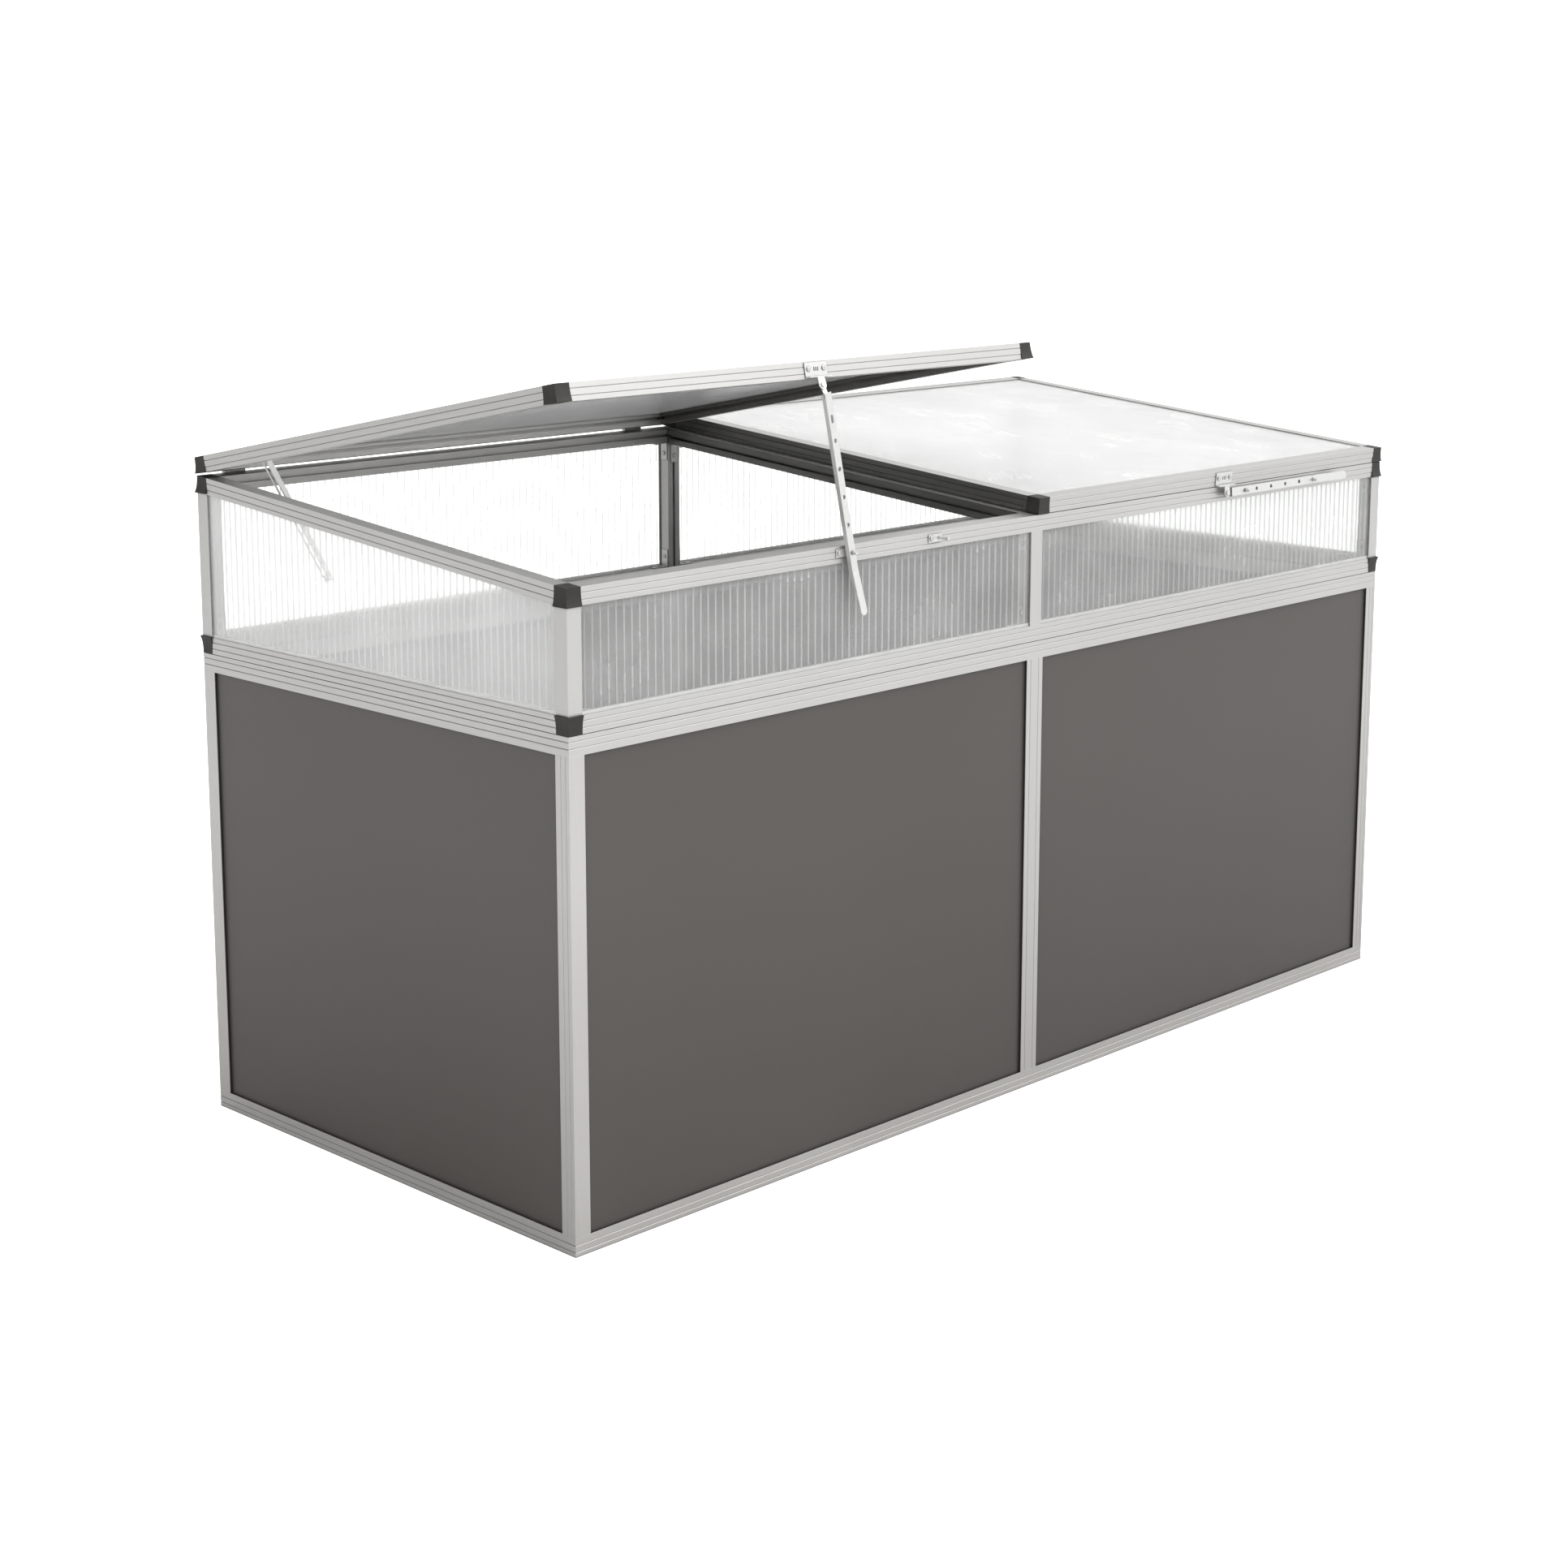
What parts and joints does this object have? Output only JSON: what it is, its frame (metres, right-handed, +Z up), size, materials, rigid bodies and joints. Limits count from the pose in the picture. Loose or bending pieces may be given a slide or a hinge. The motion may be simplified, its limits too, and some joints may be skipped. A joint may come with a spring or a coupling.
{
  "type": "cold frame",
  "caption": "Raised aluminium cold frame with solid lower panels, twin-wall glazing and two hinged sloping lids, one propped open by a hooked stay.",
  "frame": {"origin": "on the ground under the middle of the base's footprint", "axes": "+Z up, +X along the length to the right seen from the front, +Y from the low front to the high back where the lids are hinged"},
  "size_m": [2.0064, 0.91, 1.2386],
  "materials": {
    "bar_aluminium": "fine satin anodised",
    "hinge_aluminium": "satin",
    "cleat_aluminium": "mill",
    "anthracite_panel": "smooth satin powder coat",
    "gasket_rubber": "matte",
    "black_connector": "fine moulded",
    "twin_wall_sheet": "clear twin-wall",
    "zinc_steel": "bright zinc",
    "screw_steel": "bright"
  },
  "bodies": {
    "frame": {"base_bottom_rail_back": "bar_aluminium", "base_bottom_rail_front": "bar_aluminium", "base_bottom_rail_left": "bar_aluminium", "base_bottom_rail_right": "bar_aluminium", "base_brackets": "zinc_steel", "base_corner_cleats": "cleat_aluminium", "base_panel_back_left": "anthracite_panel", "base_panel_back_right": "anthracite_panel", "base_panel_front_left": "anthracite_panel", "base_panel_front_right": "anthracite_panel", "base_panel_gaskets": "gasket_rubber", "base_panel_left": "anthracite_panel", "base_panel_right": "anthracite_panel", "base_posts": "bar_aluminium", "base_screws": "screw_steel", "base_top_rail_back": "bar_aluminium", "base_top_rail_front": "bar_aluminium", "base_top_rail_left": "bar_aluminium", "base_top_rail_right": "bar_aluminium", "frame_brackets": "zinc_steel", "frame_connectors": "black_connector", "frame_cross_rail": "bar_aluminium", "frame_glazing_back_left": "twin_wall_sheet", "frame_glazing_back_right": "twin_wall_sheet", "frame_glazing_front_left": "twin_wall_sheet", "frame_glazing_front_right": "twin_wall_sheet", "frame_glazing_left": "twin_wall_sheet", "frame_glazing_right": "twin_wall_sheet", "frame_hinge_leaves": "hinge_aluminium", "frame_lower_rail_back": "bar_aluminium", "frame_lower_rail_front": "bar_aluminium", "frame_lower_rail_left": "bar_aluminium", "frame_lower_rail_right": "bar_aluminium", "frame_posts": "bar_aluminium", "frame_screws": "screw_steel", "frame_upper_rail_back": "bar_aluminium", "frame_upper_rail_front": "bar_aluminium", "frame_upper_rail_left": "bar_aluminium", "frame_upper_rail_right": "bar_aluminium", "stay_pegs": "zinc_steel"},
    "left_lid": {"left_lid_connectors": "black_connector", "left_lid_fasteners": "screw_steel", "left_lid_glazing": "twin_wall_sheet", "left_lid_hinge_leaves": "hinge_aluminium", "left_lid_long_rails": "bar_aluminium", "left_lid_side_rails": "bar_aluminium", "left_stay_bracket": "zinc_steel"},
    "left_link": {"left_stay_link": "zinc_steel"},
    "left_arm": {"left_stay_arm": "zinc_steel"},
    "left_side_bar": {"left_side_stay": "zinc_steel"},
    "right_lid": {"right_lid_connectors": "black_connector", "right_lid_fasteners": "screw_steel", "right_lid_glazing": "twin_wall_sheet", "right_lid_hinge_leaves": "hinge_aluminium", "right_lid_long_rails": "bar_aluminium", "right_lid_side_rails": "bar_aluminium", "right_stay_bracket": "zinc_steel"},
    "right_link": {"right_stay_link": "zinc_steel"},
    "right_arm": {"right_stay_arm": "zinc_steel"},
    "right_side_bar": {"right_side_stay": "zinc_steel"}
  },
  "joints": [
    {"name": "left_lid_hinge", "type": "hinge", "parent": "frame", "child": "left_lid", "pos_m": [-0.5015, 0.445, 1.04], "axis": [1, 0, 0], "range_deg": [0, 16.23]},
    {"name": "left_link_swivel", "type": "hinge", "parent": "left_lid", "child": "left_link", "pos_m": [-0.4985, -0.43944, 1.2047], "axis": [0, -0.9319, 0.3626], "range_deg": [0, 78]},
    {"name": "left_arm_tilt", "type": "hinge", "parent": "left_link", "child": "left_arm", "pos_m": [-0.49491, -0.44248, 1.18805], "axis": [0.9774, 0.0766, 0.1968], "range_deg": [-20, 0]},
    {"name": "left_side_bar_pivot", "type": "hinge", "parent": "left_lid", "child": "left_side_bar", "pos_m": [-1, 0.31, 1.078], "axis": [1, 0, 0], "range_deg": [-36.5, 0]},
    {"name": "right_lid_hinge", "type": "hinge", "parent": "frame", "child": "right_lid", "pos_m": [0.5015, 0.445, 1.04], "axis": [1, 0, 0], "range_deg": [-16.23, 0]},
    {"name": "right_link_swivel", "type": "hinge", "parent": "right_lid", "child": "right_link", "pos_m": [0.5045, -0.45022, 0.95097], "axis": [0, -0.9961, 0.0877], "range_deg": [-78, 0]},
    {"name": "right_arm_tilt", "type": "hinge", "parent": "right_link", "child": "right_arm", "pos_m": [0.5215, -0.44704, 0.95069], "axis": [0, 0.0877, 0.9961], "range_deg": [0, 20]},
    {"name": "right_side_bar_pivot", "type": "hinge", "parent": "right_lid", "child": "right_side_bar", "pos_m": [1, 0.30476, 1.03876], "axis": [1, 0, 0], "range_deg": [0, 36.5]}
  ],
  "couplings": [
    {"joint": "left_link_swivel", "follows": "left_lid_hinge", "ratio": 4.7947},
    {"joint": "left_arm_tilt", "follows": "left_lid_hinge", "ratio": -1.2163},
    {"joint": "left_side_bar_pivot", "follows": "left_lid_hinge", "ratio": -2.2307},
    {"joint": "right_link_swivel", "follows": "right_lid_hinge", "ratio": 4.7947},
    {"joint": "right_arm_tilt", "follows": "right_lid_hinge", "ratio": -1.2163},
    {"joint": "right_side_bar_pivot", "follows": "right_lid_hinge", "ratio": -2.2307}
  ]
}
